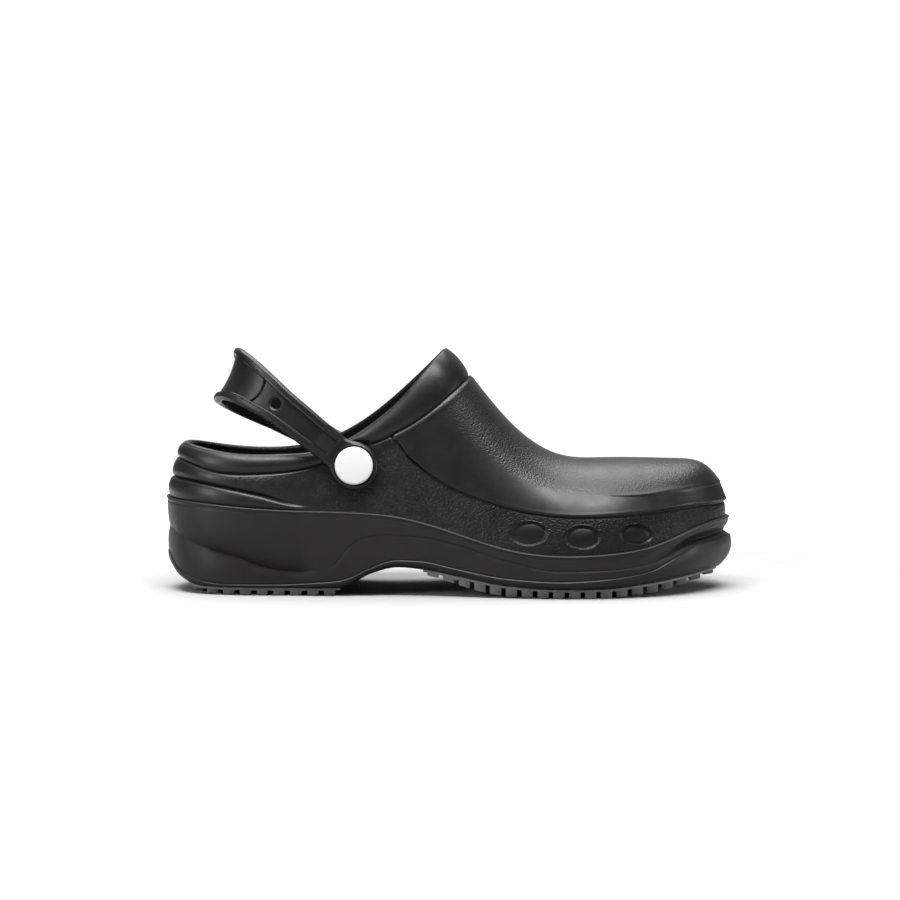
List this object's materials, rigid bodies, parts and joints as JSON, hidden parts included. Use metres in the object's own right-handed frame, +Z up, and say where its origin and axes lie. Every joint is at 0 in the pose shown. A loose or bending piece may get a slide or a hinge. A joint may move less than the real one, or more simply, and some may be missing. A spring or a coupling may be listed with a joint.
{
  "type": "chef clog",
  "caption": "Closed-toe work clog for the right foot, with a thick moulded sole, lugged rubber treads and a riveted heel strap.",
  "frame": {"origin": "middle of the bounding box in plan, on the floor", "axes": "+X from the heel to the toe, +Y to the inner side of a right foot, +Z up"},
  "size_m": [0.2834, 0.1064, 0.1206],
  "materials": {
    "upper": "moulded foam, satin, with a fine pebbled grain",
    "sole": "moulded foam, satin",
    "insole": "matte foam with a woven cover",
    "tread": "matte grey rubber",
    "strap": "moulded foam, satin",
    "rivet": "satin plastic",
    "cap": "smooth plastic, soft gloss"
  },
  "bodies": {
    "root": {"upper": "upper", "sole": "sole", "insole": "insole", "heel_tread": "tread", "forefoot_tread": "tread", "heel_strap": "strap", "rivet_outer": "rivet", "cap_outer": "cap", "rivet_inner": "rivet", "cap_inner": "cap"}
  },
  "joints": []
}
